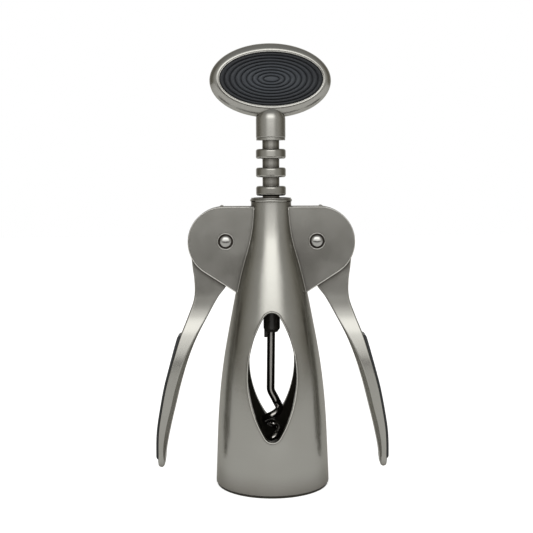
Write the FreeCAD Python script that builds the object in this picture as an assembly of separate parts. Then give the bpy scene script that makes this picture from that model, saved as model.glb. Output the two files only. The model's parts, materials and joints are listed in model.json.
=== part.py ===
import FreeCAD, Part
import math
import os
from FreeCAD import Vector

# Wing corkscrew with two geared levers, a ringed rack, an oval handle and a bell that sits on the bottle.
# Millimetres. +Z is up along the screw, X runs across the two levers, and the front faces -Y.
# The origin is on the screw's axis, at the foot that stands on the bottle or the table.
# The levers hang down, as in the closed tool, so the rack stands at the top of its travel.

# Foot and bell
footHeight = 1.1
footInset = 0.5
bellFootRadius = 23.4
bellWaistRadius = 21.8
bellWaistHeight = 34.0
bellShoulderRadius = 16.4
bellShoulderHeight = 70.5
bellNeckRadius = 12.0
bellNeckDrop = 9.2
collarRadius = 8.1
collarRise = 17.4
bellWall = 1.9
cavityDrop = 17.5

# Almond windows, front and rear
windowTop = 73.2
windowBottom = 22.2
windowHalfWidth = 9.73
windowWidestHeight = 49.0
windowTopRound = 3.6
windowBottomRound = 3.4

# Black guide that lines the bell and centres the bottle
guideGap = 0.1
guideWall = 1.5
guideDrop = 7.0
mouthRadius = 15.5
mouthDepth = 5.0
mouthLeadIn = 0.8
throatRadius = 12.5
shoulderThickness = 1.8

# Rack
rodRadius = 3.45
ringRadius = 6.05
ringHeight = 3.95
ringPitch = 7.43
ringCount = 7
ringRound = 0.9
topRingRise = 17.67
rodSocketDepth = 7.5
partGap = 0.35
slideGap = 0.08

# Guide bush in the collar
bushHeight = 6.0
bushWall = 1.15
bushRecess = 0.3

# Lever gears
gearTeeth = 12
toothAddendum = 0.46
toothTipHalf = 0.95
toothRootHalf = 1.4
firstTooth = -1
lastTooth = 5
gearHalfThickness = 2.4
leverGap = 0.35
pivotHeight = 100.5

# Ear plates
earThickness = 1.7
earRadius = 14.4
earCentreOut = 0.95
earCentreDrop = 0.4
earSlope = 33.0
earFoot = 13.7
earBevel = 0.3

# Pivot pins and their polished caps
pinRadius = 2.2
pinGap = 0.05
capRadius = 2.5
capRecessRadius = 3.2
capRecessDepth = 0.9
capDome = 0.9

# Lever arms: outer edge, inner edge and half depth at heights down the arm
armRootDrop = 16.5
armTipHeight = 5.6
armRootOuter = 31.6
armRootInner = 18.0
armKneeOuter = 34.3
armKneeInner = 26.4
armKneeHeight = 70.0
armMidOuter = 40.2
armMidInner = 34.2
armMidHeight = 52.5
armLowOuter = 45.2
armLowInner = 40.0
armLowHeight = 32.0
armTipOuter = 47.2
armTipInner = 44.2
armTipBlendHeight = 12.5
armHalfDepth = 6.3
armTipHalfDepth = 4.6
armBevel = 1.7
armEdge = 0.4
gripThickness = 1.3
gripTop = 63.5
gripBottom = 9.5
gripInset = 0.5

# Handle
handleHalfWidth = 24.4
handleHalfHeight = 14.6
handleRise = 16.45
handleHalfDepth = 4.4
handleRim = 3.9
handleRound = 3.3
padRecess = 1.1
padGap = 0.15
padProud = 0.3
handleTurn = 5.0
neckRadius = 5.95
neckLength = 6.5
neckGap = 3.455
washerHeight = 1.0
washerInset = 0.1

# Grip pad grooves
grooveCount = 8
grooveWidth = 0.55
grooveDepth = 0.45
islandHalfWidth = 3.2
islandHalfHeight = 1.2

# Worm
wireRadius = 1.65
coilRadius = 2.4
coilPitch = 9.7
coilTop = 32.2
coilTurns = 2.75
bendHeight = 41.5
tipRadius = 0.3
hubRadius = 3.4
hubBottom = 63.0
hubLength = 21.0
hubChamfer = 1.4
fitGap = 0.03

# Sizes that follow from the ones above
collarTop = pivotHeight + collarRise
bellNeckHeight = pivotHeight - bellNeckDrop
cavityTop = pivotHeight - cavityDrop
guideTop = cavityTop - guideDrop
topRingHeight = collarTop + topRingRise
neckBottom = topRingHeight + ringHeight / 2 + neckGap + washerHeight
neckDomeHeight = neckBottom + neckLength
handleHeight = neckDomeHeight + handleRise
hubTop = hubBottom + hubLength
gearPitchRadius = ringPitch * gearTeeth / (2 * math.pi)
gearTipRadius = gearPitchRadius + toothAddendum
pivotOut = rodRadius + partGap + gearTipRadius
gearRootRadius = pivotOut - ringRadius - partGap
slotHalfWidth = gearHalfThickness + leverGap
slotRadius = gearTipRadius + partGap
earFace = slotHalfWidth + earThickness
boreRadius = ringRadius + partGap
bushInner = ringRadius + slideGap
bushOuter = bushInner + bushWall
bushTop = collarTop - bushRecess
bushBottom = bushTop - bushHeight
armRootHeight = pivotHeight - armRootDrop


def turned(points):
    """Solid of revolution about Z from a closed outline of (radius, height) points."""
    corners = [Vector(r, 0, z) for r, z in points]
    face = Part.Face(Part.makePolygon(corners + corners[:1]))
    return face.revolve(Vector(0, 0, 0), Vector(0, 0, 1), 360)


def ring(outer, inner, bottom, top):
    """Tube between two heights."""
    tube = Part.makeCylinder(outer, top - bottom, Vector(0, 0, bottom))
    return tube.cut(Part.makeCylinder(inner, top - bottom + 2, Vector(0, 0, bottom - 1)))


def crossBar(radius, halfLength, x, z):
    """Cylinder along Y, centred on the plane of the levers."""
    return Part.makeCylinder(radius, 2 * halfLength, Vector(x, -halfLength, z), Vector(0, 1, 0))


def slab(wire, halfDepth):
    """Extrude an outline in the XZ plane equally to both sides."""
    face = Part.Face(wire)
    face.translate(Vector(0, -halfDepth, 0))
    return face.extrude(Vector(0, 2 * halfDepth, 0))


def mirrored(shape):
    return shape.mirror(Vector(0, 0, 0), Vector(1, 0, 0))


def bellCurve(inset, bottom, top):
    """Bell's outer line moved in by inset, cut to a height range."""
    stations = [
        (bellFootRadius, 0.0),
        (bellFootRadius - (bellFootRadius - bellWaistRadius) * 0.33, bellWaistHeight * 0.4),
        (bellWaistRadius, bellWaistHeight),
        (0.54 * bellWaistRadius + 0.46 * bellShoulderRadius + 0.15, 0.46 * bellWaistHeight + 0.54 * bellShoulderHeight),
        (bellShoulderRadius, bellShoulderHeight),
        (bellNeckRadius, bellNeckHeight),
        (collarRadius + 1.3, bellNeckHeight + 0.4 * (collarTop - bellNeckHeight)),
        (collarRadius + 0.2, bellNeckHeight + 0.8 * (collarTop - bellNeckHeight)),
        (collarRadius, collarTop),
    ]
    curve = Part.BSplineCurve()
    curve.interpolate([Vector(r - inset, 0, z) for r, z in stations])
    low = curve.intersect(Part.LineSegment(Vector(0, 0, bottom), Vector(60, 0, bottom)))
    high = curve.intersect(Part.LineSegment(Vector(0, 0, top), Vector(60, 0, top)))
    first = curve.parameter(Vector(low[0].X, 0, bottom)) if low else curve.FirstParameter
    last = curve.parameter(Vector(high[0].X, 0, top)) if high else curve.LastParameter
    return curve.toShape(first, last)


def bellBody(inset, bottom, top):
    """Solid of the bell's outer form, moved in by inset."""
    side = bellCurve(inset, bottom, top)
    start = side.Vertexes[0].Point
    end = side.Vertexes[-1].Point
    axisTop = Vector(0, 0, end.z)
    axisBottom = Vector(0, 0, start.z)
    path = Part.makePolygon([end, axisTop, axisBottom, start])
    face = Part.Face(Part.Wire([side] + path.Edges))
    return face.revolve(Vector(0, 0, 0), Vector(0, 0, 1), 360)


def arcEdge(centre, radius, start, end):
    """Arc in the XZ plane between two angles in degrees, measured from +X towards +Z."""
    points = []
    for angle in (start, (start + end) / 2, end):
        turn = math.radians(angle)
        points.append(centre + Vector(radius * math.cos(turn), 0, radius * math.sin(turn)))
    return Part.Arc(*points).toShape()


def windowSide(corner, drop):
    """Radius of the long side arc that meets an end arc of the given radius smoothly."""
    return (windowHalfWidth ** 2 + drop ** 2 - corner ** 2) / (2 * (windowHalfWidth - corner))


def windowWire():
    """Almond outline in the XZ plane: two round ends and four long side arcs."""
    edges = []
    ends = ((1, windowTop, windowTopRound), (-1, windowBottom, windowBottomRound))
    for up, end, corner in ends:
        middle = Vector(0, 0, end - up * corner)
        drop = abs(middle.z - windowWidestHeight)
        sideRadius = windowSide(corner, drop)
        lean = math.degrees(math.atan2(drop, sideRadius - windowHalfWidth))
        edges.append(arcEdge(middle, corner, up * lean, up * (180 - lean)))
        for side in (1, -1):
            centre = Vector(side * (windowHalfWidth - sideRadius), 0, windowWidestHeight)
            start, finish = (0, up * lean) if side > 0 else (180, 180 - up * lean)
            edges.append(arcEdge(centre, sideRadius, start, finish))
    return Part.Wire(Part.__sortEdges__(edges))


def earOutline():
    """Outline of one pair of ear plates in the XZ plane, on the +X side."""
    centre = Vector(pivotOut + earCentreOut, 0, pivotHeight - earCentreDrop)
    rim = arcEdge(centre, earRadius, 90, earSlope - 90)
    top = rim.Vertexes[0].Point
    low = rim.Vertexes[-1].Point
    foot = low - Vector(low.x - earFoot, 0, (low.x - earFoot) * math.tan(math.radians(earSlope)))
    innerFoot = Vector(0, 0, foot.z)
    innerTop = Vector(0, 0, top.z)
    straight = Part.makePolygon([low, foot, innerFoot, innerTop, top])
    return Part.Wire([rim] + straight.Edges)


def earPlates():
    """Front and rear plate on the +X side, with bevelled outer edges and recesses for the pin caps."""
    plates = []
    for side in (-1, 1):
        plate = Part.Face(earOutline()).extrude(Vector(0, earThickness, 0))
        plate.translate(Vector(0, slotHalfWidth if side > 0 else -earFace, 0))
        bevel = earBevelled(plate, side)
        recess = Part.makeCylinder(
            capRecessRadius, capRecessDepth + 1, Vector(pivotOut, side * (earFace - capRecessDepth), pivotHeight),
            Vector(0, side, 0))
        plates.append(bevel.cut(recess))
    return plates


def earBevelled(plate, side):
    """Bevel the rim and the lower edge of a plate's outer face."""
    edges = []
    for edge in plate.Edges:
        centre = edge.CenterOfMass
        onFace = abs(centre.y - side * earFace) < 0.01
        if onFace and centre.x > 1 and edge.Length > earBevel * 4:
            edges.append(edge)
    return plate.makeChamfer(earBevel, edges)


def makeBell():
    """One casting: bell, collar, ear plates, almond windows and the slots the gears turn in."""
    body = bellBody(0, footHeight, collarTop)
    for plate in earPlates():
        body = body.fuse([plate, mirrored(plate)])
    cavity = bellBody(bellWall, footHeight - 1, cavityTop)
    bore = Part.makeCylinder(boreRadius, collarTop + 10 - cavityTop + 5, Vector(0, 0, cavityTop - 5))
    seat = Part.makeCylinder(bushOuter + pinGap, bushHeight + 5, Vector(0, 0, bushBottom - pinGap))
    body = body.cut([cavity, bore, seat])
    for side in (-1, 1):
        slot = crossBar(slotRadius, slotHalfWidth, side * pivotOut, pivotHeight)
        hole = crossBar(pinRadius + fitGap, earFace + 1, side * pivotOut, pivotHeight)
        body = body.cut([slot, hole])
    body = body.cut(slab(windowWire(), bellFootRadius + 5))
    return body.removeSplitter()


def makeGuide():
    """Black liner: foot ring, bottle mouth with a lead-in, shoulder, and a wall behind the casting."""
    outer = bellBody(bellWall + guideGap, 0, guideTop)
    foot = Part.makeCylinder(bellFootRadius - footInset, footHeight)
    inner = bellBody(bellWall + guideGap + guideWall, mouthDepth + shoulderThickness, guideTop + 1)
    mouth = turned([
        (0, -1), (mouthRadius + mouthLeadIn + 1, -1), (mouthRadius, mouthLeadIn), (mouthRadius, mouthDepth),
        (throatRadius, mouthDepth), (throatRadius, mouthDepth + shoulderThickness + 1),
        (0, mouthDepth + shoulderThickness + 1)])
    body = outer.fuse(foot).cut([inner, mouth])
    return body.cut(slab(windowWire(), bellFootRadius + 5)).removeSplitter()


def makeBush():
    """Guide bush that turns in the collar and that the ringed rack slides through."""
    return ring(bushOuter, bushInner, bushBottom, bushTop)


def makePin():
    length = earFace - capRecessDepth
    return crossBar(pinRadius, length, pivotOut, pivotHeight)


def makeCap(side):
    """Low polished dome over one end of a pin."""
    rise = capRecessDepth - 0.3
    dome = Part.BSplineCurve()
    dome.interpolate([
        Vector(capRadius, 0, rise), Vector(0.8 * capRadius, 0, rise + 0.52 * capDome),
        Vector(0.45 * capRadius, 0, rise + 0.87 * capDome), Vector(0, 0, rise + capDome)])
    edge = dome.toShape()
    base = Part.makePolygon([Vector(0, 0, rise + capDome), Vector(0, 0, 0), Vector(capRadius, 0, 0),
                             Vector(capRadius, 0, rise)])
    cap = Part.Face(Part.Wire([edge] + base.Edges)).revolve(Vector(0, 0, 0), Vector(0, 0, 1), 360)
    cap.rotate(Vector(0, 0, 0), Vector(1, 0, 0), 90 if side < 0 else -90)
    cap.translate(Vector(pivotOut, side * (earFace - capRecessDepth), pivotHeight))
    return cap


def gearPoint(angle, radius):
    """Point about the +X pivot; 0 degrees points at the screw's axis and 90 degrees points up."""
    turn = math.radians(angle)
    return Vector(pivotOut - radius * math.cos(turn), 0, pivotHeight + radius * math.sin(turn))


def makeTooth(angle):
    """Tapered tooth with a rounded tip, pointing away from the pivot."""
    turn = math.radians(angle)
    along = Vector(-math.cos(turn), 0, math.sin(turn))
    across = Vector(math.sin(turn), 0, math.cos(turn))
    centre = Vector(pivotOut, 0, pivotHeight)
    rootLeft = centre + along * (gearRootRadius - 2) + across * (toothRootHalf + 0.1)
    rootRight = centre + along * (gearRootRadius - 2) - across * (toothRootHalf + 0.1)
    baseLeft = centre + along * gearRootRadius + across * toothRootHalf
    baseRight = centre + along * gearRootRadius - across * toothRootHalf
    tipLeft = centre + along * (gearTipRadius - 0.7 * toothTipHalf) + across * toothTipHalf
    tipRight = centre + along * (gearTipRadius - 0.7 * toothTipHalf) - across * toothTipHalf
    tip = centre + along * gearTipRadius
    sides = Part.makePolygon([tipRight, baseRight, rootRight, rootLeft, baseLeft, tipLeft])
    nose = Part.Arc(tipLeft, tip, tipRight).toShape()
    return slab(Part.Wire(sides.Edges + [nose]), gearHalfThickness)


def gearPhase():
    """Angle of the tooth that stands in the gap nearest to the pivots' height."""
    gap = topRingHeight - ringPitch / 2
    while gap - ringPitch > pivotHeight - ringPitch / 2:
        gap -= ringPitch
    return math.degrees((gap - pivotHeight) / gearPitchRadius)


def makeGearPlate():
    """Hub with teeth, and the flat root of the arm, between the ear plates."""
    phase = gearPhase()
    step = 360 / gearTeeth
    hub = crossBar(gearRootRadius, gearHalfThickness, pivotOut, pivotHeight)
    teeth = [makeTooth(phase + step * count) for count in range(firstTooth, lastTooth + 1)]
    sectorStart = phase + step * lastTooth
    sectorEnd = 360 + phase + step * (firstTooth - 0.55)
    rimStart = gearPoint(sectorStart, gearTipRadius)
    rimEnd = gearPoint(180, gearTipRadius)
    rimMiddle = gearPoint((sectorStart + 180) / 2, gearTipRadius)
    outerRoot = Vector(armRootOuter, 0, armRootHeight)
    innerRoot = Vector(armRootInner, 0, armRootHeight)
    hook = gearPoint(sectorEnd, gearTipRadius - 1.1)
    centre = Vector(pivotOut, 0, pivotHeight)
    outerCurve = Part.BSplineCurve()
    outerCurve.interpolate(
        Points=[rimEnd, Vector(armRootOuter + 0.7, 0, armRootHeight + 0.4 * armRootDrop), outerRoot],
        InitialTangent=Vector(0, 0, -1), FinalTangent=Vector(-0.02, 0, -1))
    edges = [
        Part.Arc(rimStart, rimMiddle, rimEnd).toShape(),
        outerCurve.toShape(),
        Part.makeLine(outerRoot, innerRoot),
        Part.makeLine(innerRoot, hook),
        Part.makeLine(hook, centre),
        Part.makeLine(centre, rimStart),
    ]
    root = slab(Part.Wire(edges), gearHalfThickness)
    return hub.fuse(teeth + [root])


def armStations():
    """Arm sections from root to tip: height, outer edge, inner edge, half depth, inner bevel."""
    return [
        (armRootHeight, armRootOuter, armRootInner, gearHalfThickness, armEdge),
        (armRootHeight - 6.6, armRootOuter + 0.2, armRootInner + 4.3, gearHalfThickness, armEdge),
        (armKneeHeight, armKneeOuter, armKneeInner, 0.79 * gearHalfThickness + 0.21 * armHalfDepth, armEdge),
        (0.57 * armKneeHeight + 0.43 * armMidHeight, 0.51 * armKneeOuter + 0.49 * armMidOuter,
         0.51 * armKneeInner + 0.49 * armMidInner, 0.45 * gearHalfThickness + 0.55 * armHalfDepth, 2 * armEdge),
        (armMidHeight, armMidOuter, armMidInner, armHalfDepth - 0.5, 0.9 * armBevel),
        (0.5 * (armMidHeight + armLowHeight), 0.5 * (armMidOuter + armLowOuter) + 0.4,
         0.5 * (armMidInner + armLowInner) + 0.3, armHalfDepth, armBevel),
        (armLowHeight, armLowOuter, armLowInner, armHalfDepth, armBevel),
        (0.5 * (armLowHeight + armTipBlendHeight), 0.5 * (armLowOuter + armTipOuter) + 0.55,
         0.5 * (armLowInner + armTipInner) + 0.25, 0.5 * (armHalfDepth + armTipHalfDepth) + 0.2, armBevel),
        (armTipBlendHeight, armTipOuter, armTipInner, armTipHalfDepth, 0.6 * armBevel),
        (0.45 * armTipBlendHeight + 0.55 * armTipHeight, armTipOuter - 0.05, armTipInner + 1.1,
         0.78 * armTipHalfDepth, armEdge),
        (armTipHeight, armTipOuter - 0.3, armTipInner + 2.1, 0.5 * armTipHalfDepth, armEdge / 2),
    ]


def armSection(height, outer, inner, halfDepth, bevel):
    """Horizontal section of the arm: small edges outside, wider bevels inside."""
    edge = min(armEdge, (outer - inner) / 4)
    corner = min(bevel, (outer - inner) / 2, halfDepth / 2)
    half = [(outer, halfDepth - edge), (outer - edge, halfDepth), (inner + corner, halfDepth),
            (inner, halfDepth - corner)]
    front = [Vector(x, -y, height) for x, y in half]
    rear = [Vector(x, y, height) for x, y in reversed(half)]
    corners = front + rear
    return Part.makePolygon(corners + corners[:1])


def makeLever():
    """Geared lever on the +X side: gear plate between the ears, arm that widens into the grip."""
    arm = Part.makeLoft([armSection(*station) for station in armStations()], True, False)
    plate = makeGearPlate()
    hole = crossBar(pinRadius + pinGap, gearHalfThickness + 1, pivotOut, pivotHeight)
    return plate.fuse(arm).cut(hole).removeSplitter()


def makeGrip():
    """Rubber strip that lies along the outer face of an arm."""
    stations = armStations()
    outerLine = Part.BSplineCurve()
    outerLine.interpolate([Vector(outer, 0, height) for height, outer, _, _, _ in stations])
    depthLine = Part.BSplineCurve()
    depthLine.interpolate([Vector(half, 0, height) for height, _, _, half, _ in stations])
    sections = []
    steps = 9
    for step in range(steps + 1):
        share = step / steps
        height = gripTop + (gripBottom - gripTop) * share
        level = Part.LineSegment(Vector(0, 0, height), Vector(80, 0, height))
        x = outerLine.intersect(level)[0].X + fitGap
        half = depthLine.intersect(level)[0].X - gripInset
        rise = gripThickness * (0.25 if step in (0, steps) else 1)
        round_ = rise * 0.45
        front = [(x, half), (x + rise - round_, half), (x + rise, half - round_)]
        corners = [Vector(a, -b, height) for a, b in front] + [Vector(a, b, height) for a, b in reversed(front)]
        sections.append(Part.makePolygon(corners + corners[:1]))
    return Part.makeLoft(sections, True, False)


def makeRack():
    """Turned rod with rings all round, so the gears mesh with it at any turn of the handle."""
    rod = Part.makeCylinder(rodRadius, neckBottom + rodSocketDepth - hubTop, Vector(0, 0, hubTop))
    rings = []
    for count in range(ringCount):
        middle = topRingHeight - count * ringPitch
        disc = Part.makeCylinder(ringRadius, ringHeight, Vector(0, 0, middle - ringHeight / 2))
        rings.append(disc.makeFillet(min(ringRound, ringHeight / 2.2), roundEdges(disc)))
    return rod.fuse(rings)


def roundEdges(solid):
    """Circular edges of a turned solid, without its seam."""
    return [edge for edge in solid.Edges if isinstance(edge.Curve, Part.Circle)]


def ellipseFace(halfWidth, halfHeight, y):
    """Elliptical face in a plane across Y, centred on the handle."""
    wide = Part.Ellipse(
        Vector(halfWidth, y, handleHeight), Vector(0, y, handleHeight + halfHeight), Vector(0, y, handleHeight))
    return Part.Face(Part.Wire([wide.toShape()]))


def ellipseSlab(halfWidth, halfHeight, y0, y1):
    return ellipseFace(halfWidth, halfHeight, y0).extrude(Vector(0, y1 - y0, 0))


def turnedWithHandle(shape):
    shape.rotate(Vector(0, 0, 0), Vector(0, 0, 1), handleTurn)
    return shape


def makeHandle():
    """Oval rim with a web between two recesses, on a domed neck that takes the rack's end."""
    oval = ellipseSlab(handleHalfWidth, handleHalfHeight, -handleHalfDepth, handleHalfDepth)
    rims = [edge for edge in oval.Edges if edge.Length > handleHalfWidth * 3]
    oval = oval.makeFillet(handleRound, rims)
    neck = Part.makeCylinder(neckRadius, neckDomeHeight - neckBottom, Vector(0, 0, neckBottom))
    neck = neck.makeChamfer(0.3, [edge for edge in roundEdges(neck) if edge.CenterOfMass.z < neckBottom + 0.1])
    dome = Part.makeSphere(neckRadius, Vector(0, 0, neckDomeHeight))
    body = oval.fuse([neck, dome])
    padWidth = handleHalfWidth - handleRim
    padHeight = handleHalfHeight - handleRim
    front = ellipseSlab(padWidth, padHeight, -handleHalfDepth - 3, -handleHalfDepth + padRecess)
    rear = ellipseSlab(padWidth, padHeight, handleHalfDepth - padRecess, handleHalfDepth + 3)
    socket = Part.makeCylinder(rodRadius + fitGap, rodSocketDepth + 1.1, Vector(0, 0, neckBottom - 1))
    return turnedWithHandle(body.cut([front, rear, socket]).removeSplitter())


def makePad(side):
    """Rubber thumb pad with elliptical grooves, seated in one recess of the handle."""
    padWidth = handleHalfWidth - handleRim - padGap
    padHeight = handleHalfHeight - handleRim - padGap
    floor = handleHalfDepth - padRecess + fitGap
    face = handleHalfDepth + padProud - 0.6
    low, high = sorted((side * floor, side * face))
    pad = ellipseSlab(padWidth, padHeight, low, high)
    cuts = []
    stepWide = (padWidth - islandHalfWidth - grooveWidth) / grooveCount
    stepHigh = (padHeight - islandHalfHeight - grooveWidth) / grooveCount
    cutLow, cutHigh = sorted((side * (face - grooveDepth), side * (face + 1)))
    for count in range(grooveCount):
        wide = islandHalfWidth + count * stepWide
        tall = islandHalfHeight + count * stepHigh
        outer = ellipseSlab(wide + grooveWidth, tall + grooveWidth, cutLow, cutHigh)
        cuts.append(outer.cut(ellipseSlab(wide, tall, cutLow - 1, cutHigh + 1)))
    return turnedWithHandle(pad.cut(cuts))


def arcFrom(start, tangent, end):
    """Arc, or line, that leaves start along tangent and reaches end."""
    chord = end - start
    half = chord * 0.5
    unit = Vector(chord).normalize()
    side = tangent - unit * tangent.dot(unit)
    if side.Length < 1e-6:
        return Part.makeLine(start, end)
    angle = math.atan2(side.Length, tangent.dot(unit))
    middle = start + half + side.normalize() * (half.Length * math.tan(angle / 2))
    return Part.Arc(start, middle, end).toShape()


def biarc(start, startTangent, end, endTangent):
    """Two arcs that join two points smoothly in the given directions."""
    chord = end - start
    both = startTangent + endTangent
    spread = 2 * (1 - startTangent.dot(endTangent))
    along = chord.dot(both)
    if spread < 1e-9:
        reach = chord.dot(chord) / (2 * along)
    else:
        reach = (-along + math.sqrt(along * along + spread * chord.dot(chord))) / spread
    middle = (start + startTangent * reach + end - endTangent * reach) * 0.5
    return [arcFrom(start, startTangent, middle), arcFrom(end, endTangent * -1, middle)]


def coilPoint(turns):
    """Point and downward direction on the worm's centre line, after the given number of turns."""
    angle = -2 * math.pi * turns
    rise = coilPitch / (2 * math.pi)
    point = Vector(coilRadius * math.cos(angle), coilRadius * math.sin(angle), coilTop - coilPitch * turns)
    direction = Vector(coilRadius * math.sin(angle), -coilRadius * math.cos(angle), -rise)
    return point, direction.normalize()


def coilEdges(start, end):
    edges = []
    quarters = max(1, round((end - start) * 4))
    for count in range(quarters):
        first = coilPoint(start + (end - start) * count / quarters)
        second = coilPoint(start + (end - start) * (count + 1) / quarters)
        edges += biarc(first[0], first[1], second[0], second[1])
    return edges


def circleAt(point, direction, radius):
    return Part.Wire([Part.makeCircle(radius, point, direction)])


def makeWorm():
    """Wire that drops straight from the hub, bends out and winds down as a right-handed coil to a point."""
    top = Vector(0, 0, hubTop - 4)
    down = Vector(0, 0, -1)
    bendStart = Vector(0, 0, bendHeight)
    bendMiddle = Vector(0.7 * coilRadius, 0.35 * coilRadius, coilTop + 0.41 * (bendHeight - coilTop))
    bendDirection = Vector(0.44, -0.1, -0.9).normalize()
    coilStart, coilDirection = coilPoint(0)
    taperTurns = 0.75
    edges = [Part.makeLine(top, bendStart)]
    edges += biarc(bendStart, down, bendMiddle, bendDirection)
    edges += biarc(bendMiddle, bendDirection, coilStart, coilDirection)
    edges += coilEdges(0, coilTurns - taperTurns)
    wire = Part.Wire(Part.__sortEdges__(edges))
    shaft = wire.makePipeShell([circleAt(top, down, wireRadius)], True, False)
    start, startDirection = coilPoint(coilTurns - taperTurns)
    end, endDirection = coilPoint(coilTurns)
    taper = Part.Wire(Part.__sortEdges__(coilEdges(coilTurns - taperTurns, coilTurns)))
    profiles = [circleAt(start, startDirection, wireRadius), circleAt(end, endDirection, tipRadius)]
    point = taper.makePipeShell(profiles, True, False)
    return shaft.fuse(point).removeSplitter()


def makeHub():
    """Black hub that joins the worm's wire to the foot of the rack, with a small crimped lug."""
    hub = turned([
        (wireRadius + fitGap, hubBottom), (hubRadius - hubChamfer * 0.7, hubBottom), (hubRadius, hubBottom + hubChamfer),
        (hubRadius, hubTop), (wireRadius + fitGap, hubTop)])
    lug = Part.makeCylinder(0.7, 4, Vector(-wireRadius - 0.8, 0, hubBottom - 2.3))
    return hub.fuse(lug.makeFillet(0.3, roundEdges(lug)[:1]))


def writeAll():
    lever = makeLever()
    grip = makeGrip()
    pin = makePin()
    frontCap = makeCap(-1)
    rearCap = makeCap(1)
    shapes = {
        "bell_frame": makeBell(),
        "bottle_guide": makeGuide(),
        "collar_bush": makeBush(),
        "right_pivot_pin": pin,
        "left_pivot_pin": mirrored(pin),
        "right_front_pin_cap": frontCap,
        "left_front_pin_cap": mirrored(frontCap),
        "right_rear_pin_cap": rearCap,
        "left_rear_pin_cap": mirrored(rearCap),
        "right_lever": lever,
        "left_lever": mirrored(lever),
        "right_lever_grip": grip,
        "left_lever_grip": mirrored(grip),
        "rack_rod": makeRack(),
        "neck_washer": ring(neckRadius - washerInset, rodRadius + fitGap, neckBottom - washerHeight, neckBottom),
        "handle_frame": makeHandle(),
        "front_grip_pad": makePad(-1),
        "rear_grip_pad": makePad(1),
        "worm": makeWorm(),
        "worm_hub": makeHub(),
    }
    os.makedirs("parts", exist_ok=True)
    for name, shape in shapes.items():
        shape.exportStep("parts/" + name + ".step")
        print(name, len(shape.Solids), "solid,", round(shape.Volume), "mm3")


writeAll()
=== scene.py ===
import json
import math
import bpy
import numpy as np
from mathutils import Matrix, Vector


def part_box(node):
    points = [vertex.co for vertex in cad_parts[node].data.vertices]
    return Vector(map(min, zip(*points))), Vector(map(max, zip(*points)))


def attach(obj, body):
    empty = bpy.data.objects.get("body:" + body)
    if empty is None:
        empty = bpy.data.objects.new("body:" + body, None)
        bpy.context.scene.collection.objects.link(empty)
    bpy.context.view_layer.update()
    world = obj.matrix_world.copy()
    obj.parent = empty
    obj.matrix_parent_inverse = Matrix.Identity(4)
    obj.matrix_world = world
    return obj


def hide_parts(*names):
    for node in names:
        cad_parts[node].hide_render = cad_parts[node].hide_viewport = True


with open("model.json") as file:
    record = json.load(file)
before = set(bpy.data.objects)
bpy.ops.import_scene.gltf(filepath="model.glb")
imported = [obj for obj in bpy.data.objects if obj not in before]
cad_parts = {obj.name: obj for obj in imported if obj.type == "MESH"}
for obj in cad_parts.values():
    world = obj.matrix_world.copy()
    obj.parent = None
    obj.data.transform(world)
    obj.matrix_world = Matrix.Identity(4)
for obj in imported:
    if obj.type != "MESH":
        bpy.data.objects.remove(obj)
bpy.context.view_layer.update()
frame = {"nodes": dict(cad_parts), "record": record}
nodes = frame["nodes"]
print("frame loaded:", len(nodes), "nodes")

# Metres throughout, +Z up. The levers spread along X and the front faces -Y.

# Node helpers


def addNode(tree, kind, inputs=None, **settings):
    node = tree.nodes.new(kind)
    for key, value in settings.items():
        setattr(node, key, value)
    for key, value in (inputs or {}).items():
        if isinstance(value, bpy.types.NodeSocket):
            tree.links.new(value, node.inputs[key])
        else:
            node.inputs[key].default_value = value
    return node


def addMath(tree, operation, first, second=0.0, clamp=False):
    node = addNode(tree, "ShaderNodeMath", {0: first, 1: second}, operation=operation)
    node.use_clamp = clamp
    return node.outputs[0]


def addRamp(tree, factor, stops):
    # stops are (place, colour) pairs, lowest place first
    ramp = addNode(tree, "ShaderNodeValToRGB", {"Fac": factor})
    elements = ramp.color_ramp.elements
    elements.remove(elements[1])
    elements[0].position, elements[0].color = stops[0][0], (*stops[0][1], 1)
    for place, colour in stops[1:]:
        elements.new(place).color = (*colour, 1)
    return ramp.outputs["Color"]


def addMix(tree, factor, first, second):
    # sockets 0, 6 and 7 are the factor and the two colours
    node = addNode(tree, "ShaderNodeMix", data_type="RGBA")
    for socket, value in ((node.inputs[0], factor), (node.inputs[6], first), (node.inputs[7], second)):
        if isinstance(value, bpy.types.NodeSocket):
            tree.links.new(value, socket)
        else:
            socket.default_value = value if isinstance(value, float) else (*value, 1)
    return node.outputs[2]


def addRange(tree, value, fromEnds, toEnds=(0.0, 1.0), **settings):
    # the value's place between two ends, as the same place between two other ends
    ends = {1: fromEnds[0], 2: fromEnds[1], 3: toEnds[0], 4: toEnds[1]}
    return addNode(tree, "ShaderNodeMapRange", {0: value, **ends}, **settings).outputs[0]


def newGroup(name, inputs, outputs):
    # inputs and outputs are (name, kind, default) and (name, kind)
    group = bpy.data.node_groups.new(name, "ShaderNodeTree")
    for label, kind, default in inputs:
        socket = group.interface.new_socket(label, in_out="INPUT", socket_type="NodeSocket" + kind)
        socket.default_value = default
    for label, kind in outputs:
        group.interface.new_socket(label, in_out="OUTPUT", socket_type="NodeSocket" + kind)
    return group, group.nodes.new("NodeGroupInput"), group.nodes.new("NodeGroupOutput")


# Camera

camera = {
    "frame": 533.0,             # pixels across the photograph
    "focalPixels": 1004.0,      # focal length in pixels of that frame
    "distance": 0.408,          # from the screw's axis
    "height": 0.1318,
    "pitchDown": 5.87,          # degrees
    "roll": -0.34,              # degrees, the tool leans a little to the left
    "axisOffsetPixels": 4.95,   # the axis stands right of the frame's middle
    "sensor": 36.0,             # millimetres
    "clip": (0.01, 20.0),
}


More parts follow.
